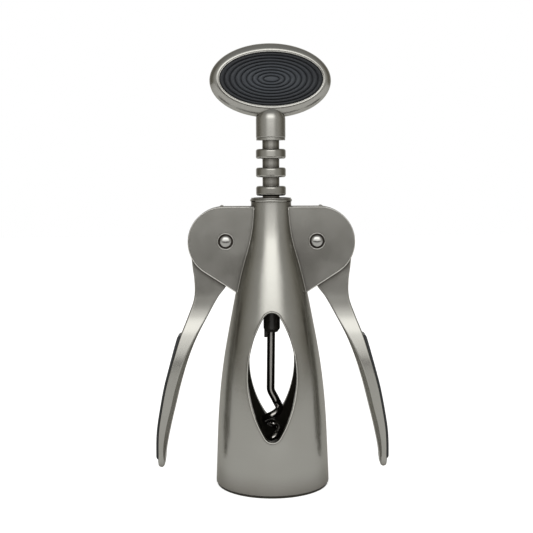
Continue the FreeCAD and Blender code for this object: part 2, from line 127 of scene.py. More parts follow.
def makeCamera(spec):
    data = bpy.data.cameras.new("studioCamera")
    data.sensor_width = spec["sensor"]
    data.lens = spec["focalPixels"] / spec["frame"] * data.sensor_width
    data.clip_start, data.clip_end = spec["clip"]
    holder = bpy.data.objects.new("studioCamera", data)
    bpy.context.scene.collection.objects.link(holder)
    side = -spec["axisOffsetPixels"] / spec["focalPixels"] * spec["distance"]
    place = Matrix.Translation((side, -spec["distance"], spec["height"]))
    tilt = Matrix.Rotation(math.radians(90.0 - spec["pitchDown"]), 4, "X")
    roll = Matrix.Rotation(math.radians(spec["roll"]), 4, "Z")
    holder.matrix_world = place @ tilt @ roll
    bpy.context.scene.camera = holder


makeCamera(camera)
print("camera set")

# Studio: white backdrop behind, dim room round it, a broad soft light ahead, a soft top light and two dark cards

studio = {
    # level and tint of the room round the tool, by (1 + cos of the angle from the front) / 2
    "round": [
        (0.00, (1.00, 1.00, 1.00)), (0.05, (0.80, 0.80, 0.78)), (0.11, (0.30, 0.29, 0.27)),
        (0.30, (0.150, 0.140, 0.115)), (0.48, (0.215, 0.205, 0.175)), (0.64, (0.36, 0.35, 0.32)),
        (0.82, (0.45, 0.445, 0.42)), (1.00, (0.45, 0.445, 0.42)),
    ],
    "overhead": (0.30, 0.30, 0.29),
    "overheadFrom": (0.55, 0.9),    # height of the direction where it starts and is full
    # the broad soft light ahead, by the height of the direction (its Z), and how it fades to the sides
    "ahead": [
        (-0.20, (0.05, 0.042, 0.037)), (-0.10, (0.035, 0.030, 0.027)), (-0.05, (0.20, 0.19, 0.175)),
        (0.0, (0.84, 0.835, 0.81)), (0.06, (1.32, 1.32, 1.29)), (0.14, (1.10, 1.10, 1.07)),
        (0.21, (1.42, 1.42, 1.38)), (0.28, (2.08, 2.08, 2.03)), (0.50, (2.05, 2.05, 2.00)),
        (0.80, (0.30, 0.30, 0.29)),
    ],
    "aheadSides": (0.20, 1.00),     # sideways slope of the direction where it starts to fade and is gone
    "aheadShift": -0.01,
    "topLight": {"place": (0.0, -0.15, 1.20), "aim": (0.0, 0.0, 0.0), "size": (0.9, 0.9),
                 "radiance": 1.8, "mirrored": False},
    "paperFront": 0.42,         # the paper ends this far in front of the tool
    "paperReach": 1.4,          # to the sides and behind
    "paperColour": (0.86, 0.86, 0.85),
    "matt": 0.9,                # roughness of the paper and the cards
    "paperLift": 0.68,          # added for the camera alone, so that the paper reads white
    "paperSheen": 0.05,         # the same, as metal sees it
    # dark cards beside the tool that only the metal mirrors; they draw the brown bands down the bell's sides
    "card": {"out": 0.105, "near": 0.004, "far": 0.050, "bottom": 0.001, "top": 0.084,
             "colour": (0.030, 0.022, 0.010)},
}


def makeWorld(spec):
    world = bpy.data.worlds.new("studioWorld")
    bpy.context.scene.world = world
    world.use_nodes = True
    tree = world.node_tree
    tree.nodes.clear()
    direction = addNode(tree, "ShaderNodeTexCoord").outputs["Generated"]
    parts = addNode(tree, "ShaderNodeSeparateXYZ", {0: direction}).outputs
    frontness = addRange(tree, parts[1], (1.0, -1.0))
    room = addRamp(tree, frontness, spec["round"])
    above = addRange(tree, parts[2], spec["overheadFrom"])
    room = addMix(tree, above, room, spec["overhead"])
    # the ramp runs from the lowest to the highest height given
    low, high = spec["ahead"][0][0], spec["ahead"][-1][0]
    stops = [((height - low) / (high - low), colour) for height, colour in spec["ahead"]]
    ahead = addRamp(tree, addRange(tree, parts[2], (low, high)), stops)
    shifted = addMath(tree, "SUBTRACT", parts[0], spec["aheadShift"])
    depth = addMath(tree, "MAXIMUM", addMath(tree, "MULTIPLY", parts[1], -1.0), 0.001)
    slope = addMath(tree, "DIVIDE", addMath(tree, "ABSOLUTE", shifted), depth)
    near, far = spec["aheadSides"]
    facing = addRange(tree, slope, (far, near), interpolation_type="SMOOTHSTEP")
    room = addMix(tree, facing, room, ahead)
    seen = addNode(tree, "ShaderNodeLightPath").outputs["Is Camera Ray"]
    colour = addMix(tree, seen, room, (1.0, 1.0, 1.0))
    backdrop = addNode(tree, "ShaderNodeBackground", {"Color": colour, "Strength": 1.0})
    out = addNode(tree, "ShaderNodeOutputWorld")
    tree.links.new(backdrop.outputs[0], out.inputs["Surface"])


def makeLamp(name, spec):
    # an area lamp of a given radiance: power = radiance * pi * area
    data = bpy.data.lights.new(name, "AREA")
    data.shape = "RECTANGLE"
    data.size, data.size_y = spec["size"]
    data.energy = spec["radiance"] * math.pi * data.size * data.size_y
    lamp = bpy.data.objects.new(name, data)
    bpy.context.scene.collection.objects.link(lamp)
    direction = Vector(spec["aim"]) - Vector(spec["place"])
    lamp.location = spec["place"]
    lamp.visible_glossy = spec["mirrored"]
    lamp.rotation_euler = direction.to_track_quat("-Z", "Y").to_euler()


def startMaterial(name):
    material = bpy.data.materials.new(name)
    material.use_nodes = True
    return material, material.node_tree, material.node_tree.nodes["Principled BSDF"]


def makeSheet(name, corners, material):
    # one flat quad of the studio
    mesh = bpy.data.meshes.new(name)
    mesh.from_pydata(corners, [], [(0, 1, 2, 3)])
    mesh.materials.append(material)
    sheet = bpy.data.objects.new(name, mesh)
    bpy.context.scene.collection.objects.link(sheet)
    return sheet


def makeFloor(spec):
    reach, front = spec["paperReach"], spec["paperFront"]
    material, tree, shader = startMaterial("whitePaper")
    shader.inputs["Base Color"].default_value = (*spec["paperColour"], 1)
    shader.inputs["Roughness"].default_value = spec["matt"]
    shader.inputs["Specular IOR Level"].default_value = 0.0
    shader.inputs["Emission Color"].default_value = (1, 1, 1, 1)
    path = addNode(tree, "ShaderNodeLightPath").outputs
    eye = addMath(tree, "MULTIPLY", path["Is Camera Ray"], spec["paperLift"])
    mirror = addMath(tree, "MAXIMUM", path["Is Glossy Ray"], path["Is Transmission Ray"])
    lift = addMath(tree, "ADD", eye, addMath(tree, "MULTIPLY", mirror, spec["paperSheen"]))
    tree.links.new(lift, shader.inputs["Emission Strength"])
    corners = [(-reach, -front, 0), (reach, -front, 0), (reach, reach, 0), (-reach, reach, 0)]
    floor = makeSheet("paper", corners, material)


def makeCards(spec, matt):
    material, _, shader = startMaterial("brownCard")
    shader.inputs["Base Color"].default_value = (*spec["colour"], 1)
    shader.inputs["Roughness"].default_value = matt
    near, far, bottom, top = spec["near"], spec["far"], spec["bottom"], spec["top"]
    for out, name in ((spec["out"], "rightCard"), (-spec["out"], "leftCard")):
        card = makeSheet(name, [(out, near, bottom), (out, far, bottom), (out, far, top), (out, near, top)], material)
        card.visible_camera = card.visible_shadow = card.visible_diffuse = card.visible_transmission = False


makeWorld(studio)
makeCards(studio["card"], studio["matt"])
makeLamp("topLight", studio["topLight"])
makeFloor(studio)
print("studio set")

# Shared effects


def makeGrainGroup():
    # fine blasted grain and slow cloudy change over a surface, in Object coordinates
    group, source, sink = newGroup(
        "surfaceGrain",
        [("Grain Size", "Float", 0.0003), ("Cloud Size", "Float", 0.02)],
        [("Height", "Float"), ("Cloud", "Float")])
    place = addNode(group, "ShaderNodeTexCoord").outputs["Object"]
    fineScale = addMath(group, "DIVIDE", 1.0, source.outputs["Grain Size"])
    fine = addNode(group, "ShaderNodeTexNoise", {
        "Vector": place, "Scale": fineScale, "Detail": 2.0, "Roughness": 0.6})
    cloudScale = addMath(group, "DIVIDE", 1.0, source.outputs["Cloud Size"])
    cloud = addNode(group, "ShaderNodeTexNoise", {"Vector": place, "Scale": cloudScale, "Detail": 3.0})
    group.links.new(fine.outputs["Fac"], sink.inputs["Height"])
    group.links.new(cloud.outputs["Fac"], sink.inputs["Cloud"])
    return group


def makeEdgeHighlightGroup():
    # rounded edges: a small rounding turns the normal away from the face, and the mask lightens the colour there as a
    # painted edge highlight
    group, source, sink = newGroup(
        "roundedEdgeHighlights",
        [("Radius", "Float", 0.0004), ("Amount", "Float", 1.0)],
        [("Mask", "Float"), ("Normal", "Vector")])
    rounded = addNode(group, "ShaderNodeBevel", {"Radius": source.outputs["Radius"]}, samples=6)
    face = addNode(group, "ShaderNodeNewGeometry").outputs["Normal"]
    agree = addNode(group, "ShaderNodeVectorMath", {0: rounded.outputs[0], 1: face}, operation="DOT_PRODUCT")
    turned = addMath(group, "SUBTRACT", 1.0, agree.outputs["Value"], clamp=True)
    steep = addMath(group, "MULTIPLY", turned, 6.0)
    mask = addMath(group, "MULTIPLY", steep, source.outputs["Amount"], clamp=True)
    group.links.new(mask, sink.inputs["Mask"])
    group.links.new(rounded.outputs[0], sink.inputs["Normal"])
    return group


def makePaintedShadeGroup():
    # painted shade for inner corners, grooves and gaps: how much of the open space near the surface is shut, as a
    # mask for darker colour
    group, source, sink = newGroup(
        "paintedCornerShade", [("Reach", "Float", 0.004), ("Amount", "Float", 1.0)], [("Mask", "Float")])
    clear = addNode(group, "ShaderNodeAmbientOcclusion", {"Distance": source.outputs["Reach"]}, samples=8)
    shut = addMath(group, "SUBTRACT", 1.0, clear.outputs["AO"])
    mask = addMath(group, "MULTIPLY", shut, source.outputs["Amount"], clamp=True)
    group.links.new(mask, sink.inputs["Mask"])
    return group


grainGroup = makeGrainGroup()
edgeHighlightGroup = makeEdgeHighlightGroup()
paintedShadeGroup = makePaintedShadeGroup()


def groupNode(tree, group, inputs):
    node = addNode(tree, "ShaderNodeGroup")
    node.node_tree = group
    for key, value in inputs.items():
        node.inputs[key].default_value = value
    return node.outputs


# Finishes

grainHeight = 0.0001            # of the bump at full strength
noiseEnds = (0.3, 0.7)          # most of a noise lies between these
coatRoughness = 0.08


def addGrain(tree, spec):
    return groupNode(tree, grainGroup, {"Grain Size": spec["grainSize"], "Cloud Size": spec["cloudSize"]})


def addPaintedShade(tree, reach, amount):
    return groupNode(tree, paintedShadeGroup, {"Reach": reach, "Amount": amount})["Mask"]


def addGrainBump(tree, strength, grain):
    return addNode(tree, "ShaderNodeBump", {"Strength": strength, "Distance": grainHeight, "Height": grain["Height"]})


nickel = {
    "dark": (0.425, 0.415, 0.385),
    "light": (0.485, 0.480, 0.455),
    "edgeHighlight": (0.62, 0.61, 0.585),      # painted highlight: lighter along rounded edges
    "corner": (0.205, 0.187, 0.170),    # painted shade: darker and browner in corners and recesses
    "cornerShadeReach": 0.010,
    "cornerShadeAmount": 1.6,
    "creviceShade": (0.075, 0.066, 0.058),   # painted shade: dark lines in the gaps where pieces meet
    "creviceShadeReach": 0.0016,
    "creviceShadeAmount": 1.9,
    "edgeTint": (0.70, 0.69, 0.66),
    "roughness": (0.20, 0.26),
    "edgeHighlightRoughness": 0.18,
    "grainSize": 0.00028,
    "cloudSize": 0.013,
    "bump": 0.035,
    "edgeRadius": 0.00028,
}


def makeNickel(spec, name="satinNickel", rounding=True):
    material, tree, shader = startMaterial(name)
    grain = addGrain(tree, spec)
    tone = addMix(tree, grain["Cloud"], spec["dark"], spec["light"])
    rough = addRange(tree, grain["Cloud"], noiseEnds, spec["roughness"])
    bump = addGrainBump(tree, spec["bump"], grain)
    # painted shade: corners darkened and browned by the wide shade mask
    tone = addMix(tree, addPaintedShade(tree, spec["cornerShadeReach"], spec["cornerShadeAmount"]), tone, spec["corner"])
    # painted shade: dark lines in gaps from the short shade mask
    tone = addMix(tree, addPaintedShade(tree, spec["creviceShadeReach"], spec["creviceShadeAmount"]), tone, spec["creviceShade"])
    if rounding:
        # painted highlight: rounded edges lightened in colour, shaded with the rounding's normal
        edgeLight = groupNode(tree, edgeHighlightGroup, {"Radius": spec["edgeRadius"], "Amount": 1.0})
        tone = addMix(tree, edgeLight["Mask"], tone, spec["edgeHighlight"])
        rough = addRange(tree, edgeLight["Mask"], (0.0, 1.0), (rough, spec["edgeHighlightRoughness"]))
        tree.links.new(edgeLight["Normal"], bump.inputs["Normal"])
    tree.links.new(tone, shader.inputs["Base Color"])
    tree.links.new(rough, shader.inputs["Roughness"])
    tree.links.new(bump.outputs[0], shader.inputs["Normal"])
    shader.inputs["Metallic"].default_value = 1.0
    shader.inputs["Specular Tint"].default_value = (*spec["edgeTint"], 1)
    return material


polish = {
    "colour": ((0.50, 0.495, 0.48), (0.58, 0.575, 0.56)),
    "roughness": (0.12, 0.19),
    "grainSize": 0.0004,
    "cloudSize": 0.003,
    # painted shade: darker in the gaps round the polished pieces
    "creviceShade": (0.16, 0.15, 0.14),
    "creviceShadeReach": 0.0016,
    "creviceShadeAmount": 1.6,
}


def makePolish(spec):
    material, tree, shader = startMaterial("polishedSteel")
    grain = addGrain(tree, spec)
    tone = addMix(tree, grain["Cloud"], *spec["colour"])
    # painted shade in the gaps round the piece
    tone = addMix(tree, addPaintedShade(tree, spec["creviceShadeReach"], spec["creviceShadeAmount"]), tone, spec["creviceShade"])
    rough = addRange(tree, grain["Height"], noiseEnds, spec["roughness"])
    tree.links.new(tone, shader.inputs["Base Color"])
    tree.links.new(rough, shader.inputs["Roughness"])
    shader.inputs["Metallic"].default_value = 1.0
    return material


def makeBlack(name, spec):
    # moulded or coated black: slightly uneven tone and gloss, fine texture, optional clear coat
    material, tree, shader = startMaterial(name)
    grain = addGrain(tree, spec)
    tone = addMix(tree, grain["Cloud"], *spec["colour"])
    if "shadedRim" in spec:
        # painted shade: greyer in the middle, darker towards the pad's rim, and darker still in the grooves
        wide, tall, middle = spec["shadedRim"]
        place = addNode(tree, "ShaderNodeTexCoord").outputs["Object"]
        centred = addNode(tree, "ShaderNodeVectorMath", {0: place, 1: (0.0, 0.0, middle)}, operation="SUBTRACT")
        scaled = addNode(tree, "ShaderNodeVectorMath", {0: centred.outputs[0], 1: (1 / wide, 0.0, 1 / tall)},
                         operation="MULTIPLY")
        reach = addNode(tree, "ShaderNodeVectorMath", {0: scaled.outputs[0]}, operation="LENGTH").outputs["Value"]
        tone = addMix(tree, addRange(tree, reach, spec["rimEnds"]), tone, spec["rimShadeColour"])
        tone = addMix(tree, addPaintedShade(tree, spec["grooveReach"], spec["grooveAmount"]), tone, spec["grooveShadeColour"])
    rough = addRange(tree, grain["Cloud"], noiseEnds, spec["roughness"])
    bump = addGrainBump(tree, spec["bump"], grain)
    tree.links.new(tone, shader.inputs["Base Color"])
    tree.links.new(rough, shader.inputs["Roughness"])
    tree.links.new(bump.outputs[0], shader.inputs["Normal"])
    shader.inputs["Metallic"].default_value = spec.get("metallic", 0.0)
    shader.inputs["Coat Weight"].default_value = spec["coat"]
    shader.inputs["Coat Roughness"].default_value = coatRoughness
    shader.inputs["Specular IOR Level"].default_value = spec["specular"]
    return material


rubber = {"colour": ((0.013, 0.0145, 0.017), (0.024, 0.026, 0.030)), "roughness": (0.40, 0.50),
          "grainSize": 0.00022, "cloudSize": 0.006, "bump": 0.12, "coat": 0.0, "specular": 0.5}
plastic = {"colour": ((0.027, 0.024, 0.018), (0.044, 0.040, 0.031)), "roughness": (0.36, 0.48),
           "grainSize": 0.00030, "cloudSize": 0.010, "bump": 0.10, "coat": 0.0, "specular": 0.3}
hubBlack = {"colour": ((0.022, 0.020, 0.017), (0.038, 0.035, 0.030)), "roughness": (0.26, 0.36),
            "grainSize": 0.00045, "cloudSize": 0.004, "bump": 0.08, "coat": 0.2, "specular": 0.5}
enamel = {"colour": ((0.340, 0.326, 0.310), (0.440, 0.424, 0.405)), "roughness": (0.11, 0.18),
          "grainSize": 0.00045, "cloudSize": 0.005, "bump": 0.05, "coat": 0.3, "specular": 0.5, "metallic": 1.0}

finishes = {
    "satin_nickel": makeNickel(nickel),
    "polished_steel": makePolish(polish),
    "black_rubber": makeBlack("blackRubber", rubber),
    "black_plastic": makeBlack("blackPlastic", plastic),
    "black_enamel": makeBlack("blackEnamel", enamel),
}
smoothNickel = makeNickel(nickel, "satinNickelSmooth", rounding=False)
# painted highlight: a much lighter nickel for the fine beads
beadHighlight = dict(nickel, dark=(0.66, 0.65, 0.62), light=(0.76, 0.75, 0.72), cornerShadeAmount=0.3, creviceShadeAmount=0.2)
highlightNickel = makeNickel(beadHighlight, "highlightNickel", rounding=False)
# painted shade: the rod between the rack's rings is darkened by its corner mask
turned = dict(nickel, dark=(0.42, 0.41, 0.38), light=(0.49, 0.48, 0.45), cornerShadeReach=0.005, cornerShadeAmount=1.5,
              corner=(0.215, 0.205, 0.190), roughness=(0.10, 0.15), creviceShadeAmount=1.2)
satinHandle = dict(nickel, dark=(0.46, 0.45, 0.42), light=(0.52, 0.515, 0.49), cornerShadeAmount=0.2,
                   creviceShadeAmount=0.8)
handleNickel = makeNickel(satinHandle, "handleNickel", rounding=False)
for part in frame["record"]["subparts"]:
    node = nodes[part["node"]]
    node.data.materials.clear()
    node.data.materials.append(finishes[part["material_slot"]])
nodes["worm_hub"].data.materials[0] = makeBlack("blackHub", hubBlack)
nodes["rack_rod"].data.materials[0] = makeNickel(turned, "turnedNickel")
print("finishes made:", len(finishes))

# Surfaces from arrays


def gridFaces(rows, columns, closeRows, closeColumns, offset=0):
    # quads of a grid whose points run column by column along each row
    row = np.arange(rows if closeRows else rows - 1)[:, None]
    column = np.arange(columns if closeColumns else columns - 1)[None, :]
    nextRow, nextColumn = (row + 1) % rows, (column + 1) % columns
    corners = [row * columns + column, row * columns + nextColumn,
               nextRow * columns + nextColumn, nextRow * columns + column]
    return np.stack([corner + offset for corner in corners], axis=-1).reshape(-1, 4)


def makeSurface(name, grids, material, body="screw", replaced=()):
    # grids are (points[rows, columns, 3], close rows, close columns); they become one smooth mesh
    points, faces, count = [], [], 0
    for grid, closeRows, closeColumns in grids:
        rows, columns = grid.shape[:2]
        points.append(grid.reshape(-1, 3))
        faces.append(gridFaces(rows, columns, closeRows, closeColumns, count))
        count += rows * columns
    points, faces = np.concatenate(points), np.concatenate(faces)
    mesh = bpy.data.meshes.new(name)
    mesh.vertices.add(len(points))
    mesh.vertices.foreach_set("co", points.astype(np.float32).ravel())
    mesh.loops.add(faces.size)
    mesh.loops.foreach_set("vertex_index", faces.astype(np.int32).ravel())
    mesh.polygons.add(len(faces))
    mesh.polygons.foreach_set("loop_start", np.arange(0, faces.size, 4, dtype=np.int32))
    mesh.polygons.foreach_set("use_smooth", np.ones(len(faces), dtype=bool))
    mesh.update(calc_edges=True)
    mesh.validate()
    mesh.materials.append(material)
    piece = bpy.data.objects.new(name, mesh)
    bpy.context.scene.collection.objects.link(piece)
    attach(piece, body)
    if replaced:
        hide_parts(*replaced)


def turnAbout(points, degrees):
    # turn about Z
    angle = math.radians(degrees)
    c, s = math.cos(angle), math.sin(angle)
    x, y = points[..., 0], points[..., 1]
    return np.stack([c * x - s * y, s * x + c * y, points[..., 2]], axis=-1)


# Handle: an oval rim round a thin web, on a domed neck

handle = {
    "halfWidth": 0.02445,
    "halfHeight": 0.0147,
    "middle": 0.16475,          # height of the oval's middle
    "rim": 0.0039,              # height of the bezel at its top and bottom
    "sides": -0.00033,          # added to the bezel at its ends
    "padLift": 0.0004,          # the pad sits this much above the oval's middle
    "halfDepth": 0.0044,
    "recess": 0.0011,           # depth of the pad's seat
    "lip": 0.00028,             # rounding of the bezel's inner edge
    "crest": 0.00045,           # the bezel is highest this far from its inner edge
    "fall": 0.00003,            # drop from the crest to the inner edge
    "squareness": 1.8,          # exponent of the rim's outer curve, 2 is a plain ellipse
    "turn": 5.0,                # degrees about the screw
    "neckRadius": 0.00595,
    "neckLength": 0.0072,       # from the neck's foot to the middle of its dome
    "neckChamfer": 0.0003,
    "neckAround": 96,
    "around": 256,
    "across": 28,
}
handleMiddle = handle["middle"]
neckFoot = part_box("handle_frame")[0][2]


def rimProfile(spec):
    # (offset from the pad's ellipse, depth) from the front seat, over the lip and the crest, round the rim
    seat = spec["halfDepth"] - spec["recess"]
    turn = np.linspace(0.0, math.pi / 2, 6)
    lipTop = spec["halfDepth"] - spec["fall"]
    lip = np.stack([spec["lip"] * (1 - np.cos(turn)), lipTop - spec["lip"] * (1 - np.sin(turn))], axis=-1)
    share = np.linspace(0.0, 1.0, 7)[1:]
    rise = np.stack([
        spec["lip"] + (spec["crest"] - spec["lip"]) * share,
        lipTop + spec["fall"] * np.sin(share * math.pi / 2)], axis=-1)
    angle = np.linspace(math.pi / 2, 0.0, spec["across"])[1:]
    power = 2.0 / spec["squareness"]
    outer = np.stack([
        spec["crest"] + (spec["rim"] - spec["crest"]) * np.cos(angle) ** power,
        spec["halfDepth"] * np.sin(angle) ** power], axis=-1)
    front = np.concatenate([[[-0.6 * spec["rim"], seat], [0.0, seat]], lip, rise, outer])
    back = front[-2::-1] * [1.0, -1.0]
    return np.concatenate([front, back])


def ovalPoints(spec, profile, turns):
    # an ellipse's half sizes grow by the profile's offset, and the profile's depth runs along -Y
    inside = 1 - np.clip(profile[:, 0] / spec["rim"], 0.0, 1.0)
    wide = spec["halfWidth"] - spec["rim"] + profile[:, 0] - spec["sides"] * inside
    tall = spec["halfHeight"] - spec["rim"] + profile[:, 0]
    x = wide[:, None] * np.cos(turns)[None, :]
    z = tall[:, None] * np.sin(turns)[None, :] + handleMiddle + spec["padLift"] * inside[:, None]
    y = np.repeat(-profile[:, 1][:, None], len(turns), axis=1)
    return np.stack([x, y, z], axis=-1)


def neckPoints(spec):
    # (radius, height) line of the neck: small chamfer, straight side, quarter circle; turned about Z
    dome = neckFoot + spec["neckLength"]
    rise = np.linspace(0.0, math.pi / 2, 25)[:-1]
    radius, chamfer = spec["neckRadius"], spec["neckChamfer"]
    line = np.concatenate([
        [[radius - chamfer, neckFoot], [radius - 0.3 * chamfer, neckFoot + 0.3 * chamfer],
         [radius, neckFoot + chamfer], [radius, neckFoot + 1.5 * chamfer], [radius, neckFoot + 2 * chamfer],
         [radius, neckFoot + 0.5 * spec["neckLength"]]],
        np.stack([radius * np.cos(rise), dome + radius * np.sin(rise)], axis=-1),
        [[1e-5, dome + radius]]])
    turns = np.linspace(0.0, 2 * math.pi, spec["neckAround"], endpoint=False)
    x = line[:, 0][:, None] * np.cos(turns)[None, :]
    y = line[:, 0][:, None] * np.sin(turns)[None, :]
    z = np.repeat(line[:, 1][:, None], len(turns), axis=1)
    return np.stack([x, y, z], axis=-1)


def webPoints(spec, turns, side):
    # flat floor of the pad's seat
    seat = side * (spec["halfDepth"] - spec["recess"])
    share = np.linspace(1.0, 0.001, 3)
    wide = (spec["halfWidth"] - 1.5 * spec["rim"]) * share
    tall = (spec["halfHeight"] - 1.5 * spec["rim"]) * share
    x = wide[:, None] * np.cos(turns)[None, :]
    z = tall[:, None] * np.sin(turns)[None, :] + handleMiddle + spec["padLift"]
    y = np.full_like(x, -seat)
    grid = np.stack([x, y, z], axis=-1)
    return grid if side > 0 else grid[:, ::-1]


def makeHandle(spec):
    turns = np.linspace(0.0, 2 * math.pi, spec["around"], endpoint=False)
    rim = ovalPoints(spec, rimProfile(spec), turns)
    grids = [rim, neckPoints(spec)]
    grids += [webPoints(spec, turns, side) for side in (1, -1)]
    grids = [(turnAbout(grid, spec["turn"]), False, True) for grid in grids]
    makeSurface("handleCasting", grids, handleNickel, replaced=["handle_frame"])


makeHandle(handle)
print("handle made")

# Grip pads: rubber with fine oval grooves

gripPad = {
    "island": (0.00320, 0.00116),       # half sizes of the oval in the middle
    "step": (0.00222, 0.00116),         # added by each groove
    "grooves": 8,
    "grooveDepth": 0.0007,
    "sharpness": 0.44,                  # below 1 gives flat ridges between narrow grooves
    "gap": 0.00016,                     # to the bezel's inner edge
    "drop": 0.0003,                     # below the bezel's crest
    "edge": 0.00035,                    # rounding of the pad's rim
    "around": 224,
    "perGroove": 18,
}


def padPoints(spec, oval, side):
    # oval number s has half sizes island + step * s; height = -depth * (1 - |sin(pi s)| ** sharpness)
    outWide = oval["halfWidth"] - oval["rim"] - oval["sides"] - spec["gap"]
    outTall = oval["halfHeight"] - oval["rim"] - spec["gap"]
    inner = np.linspace(-0.999, 0.0, spec["perGroove"])
    outer = np.linspace(0.0, spec["grooves"], spec["grooves"] * spec["perGroove"] + 1)[1:]
    s = np.concatenate([inner, outer])
    scaleWide = np.where(s < 0, spec["island"][0] * (1 + s), spec["island"][0] + spec["step"][0] * s)
    scaleTall = np.where(s < 0, spec["island"][1] * (1 + s), spec["island"][1] + spec["step"][1] * s)
    wide = np.minimum(scaleWide, outWide - spec["edge"])
    tall = np.minimum(scaleTall, outTall - spec["edge"])
    island = np.sqrt(np.clip(1 - (1 + s) ** 6, 0, 1))
    ridge = np.where(s < 0, island, np.abs(np.sin(math.pi * s)) ** spec["sharpness"])
    top = oval["halfDepth"] - spec["drop"]
    depth = top - spec["grooveDepth"] * (1 - ridge)
    turn = np.linspace(0.0, math.pi / 2, 7)
    wide = np.concatenate([wide, outWide - spec["edge"] * (1 - np.sin(turn)), [outWide]])
    tall = np.concatenate([tall, outTall - spec["edge"] * (1 - np.sin(turn)), [outTall]])
    rimDepth = top - spec["edge"] * (1 - np.cos(turn))
    depth = np.concatenate([depth, rimDepth, [oval["halfDepth"] - oval["recess"]]])
    turns = np.linspace(0.0, 2 * math.pi, spec["around"], endpoint=False)
    x = wide[:, None] * np.cos(turns)[None, :]
    z = tall[:, None] * np.sin(turns)[None, :] + handleMiddle + oval["padLift"]
    y = np.repeat(-side * depth[:, None], len(turns), axis=1)
    grid = np.stack([x, y, z], axis=-1)
    return grid[:, ::-1] if side > 0 else grid


padRubber = makeBlack("padRubber", dict(
    rubber, colour=((0.036, 0.042, 0.053), (0.068, 0.078, 0.094)),
    shadedRim=(0.0206, 0.0108, handleMiddle + handle["padLift"]),    # half sizes and middle height of the pad
    # painted shade at the pad's rim and in its grooves
    rimEnds=(0.35, 1.0), rimShadeColour=(0.013, 0.015, 0.020),
    grooveReach=0.0009, grooveAmount=1.5, grooveShadeColour=(0.004, 0.0045, 0.006)))


def makePad(name, node, side):
    grid = turnAbout(padPoints(gripPad, handle, side), handle["turn"])
    makeSurface(name, [(grid, False, True)], padRubber, replaced=[node])


makePad("frontPad", "front_grip_pad", 1)
makePad("rearPad", "rear_grip_pad", -1)
print("grip pads made")

# Worm: coated wire that leans from the hub, bends out and winds down to a point

worm = {
    "wireRadius": 0.00165,
    "tipRadius": 0.0003,
    "top": (0.0, 0.0, 0.0798),          # inside the hub
    "bend": (-0.0006, 0.0, 0.0396),
    "coilRadius": 0.00288,
    "coilTop": 0.0311,
    "pitch": 0.0097,
    "turns": 2.75,
    "taperTurns": 0.75,
    "bendShare": 0.6,                   # how far down the slant the bend ends and the coil's join begins
    "joinPull": 1.3,                    # roundness of that join
    "coilSteps": 260,
    "around": 32,
}


def hermite(start, startPull, end, endPull, count):
    # cubic through two points with given end directions and pulls
    t = np.linspace(0.0, 1.0, count)[:, None]
    return ((2 * t**3 - 3 * t**2 + 1) * start + (t**3 - 2 * t**2 + t) * startPull
            + (-2 * t**3 + 3 * t**2) * end + (t**3 - t**2) * endPull)


def tubePoints(path, reference, radius, around):
    # a circle of the given radius at each path point, square to the path; reference fixes its turn
    along = np.gradient(path, axis=0)
    along /= np.linalg.norm(along, axis=1)[:, None]
    side = reference - along * np.sum(reference * along, axis=1)[:, None]
    side /= np.linalg.norm(side, axis=1)[:, None]
    other = np.cross(along, side)
    turns = np.linspace(0.0, 2 * math.pi, around, endpoint=False)
    ring = side[:, None, :] * np.cos(turns)[None, :, None] + other[:, None, :] * np.sin(turns)[None, :, None]
    return path[:, None, :] + ring * radius[:, None, None]


def makeWorm(spec):
    top, bend = np.array(spec["top"]), np.array(spec["bend"])
    radius, pitch = spec["coilRadius"], spec["pitch"]
    coilStart = np.array([radius, 0.0, spec["coilTop"]])
    coilWay = np.array([0.0, -radius, -pitch / (2 * math.pi)])
    coilWay /= np.linalg.norm(coilWay)
    down = (bend - top) / np.linalg.norm(bend - top)
    slant = (coilStart - bend) / np.linalg.norm(coilStart - bend)
    middle = bend + (coilStart - bend) * spec["bendShare"]
    upper, lower = np.linalg.norm(middle - bend), np.linalg.norm(coilStart - middle)
    straight = top + (bend - top) * np.linspace(0.0, 1.0, 24)[:, None]
    out = hermite(bend, down * upper, middle, slant * upper, 20)[1:]
    join = hermite(middle, slant * lower, coilStart, coilWay * lower * spec["joinPull"], 24)[1:]
    turns = np.linspace(0.0, spec["turns"], spec["coilSteps"])[1:]
    angle = -2 * math.pi * turns
    coil = np.stack([radius * np.cos(angle), radius * np.sin(angle), spec["coilTop"] - pitch * turns], axis=-1)
    path = np.concatenate([straight, out, join, coil])
    lead = len(path) - len(coil)
    heading = np.concatenate([np.zeros(lead), angle])
    reference = np.stack([np.cos(heading), np.sin(heading), np.zeros(len(path))], axis=-1)
    taper = np.clip((turns - spec["turns"] + spec["taperTurns"]) / spec["taperTurns"], 0.0, 1.0)
    width = spec["wireRadius"] + (spec["tipRadius"] - spec["wireRadius"]) * taper
    width = np.concatenate([np.full(lead, spec["wireRadius"]), width])
    width[-2:] *= [0.75, 0.02]          # the point is rounded off
    grid = tubePoints(path, reference, width, spec["around"])[:, ::-1]
    makeSurface("wormWire", [(grid, False, True)], finishes["black_enamel"], replaced=["worm"])


makeWorm(worm)
print("worm made")

# Window lips: a fine bead cast round each almond window of the bell

windowLip = {
    "top": 0.0730,
    "bottom": 0.0224,
    "halfWidth": 0.0096,
    "widest": 0.0475,               # height where the window is widest
    "topRound": 0.0036,
    "bottomRound": 0.0034,
    "out": 0.00030,                 # the bead runs this far outside the opening
    "sink": 0.00012,                # and this far under the bell's surface
    "beadRadius": 0.00038,
    "around": 14,
}


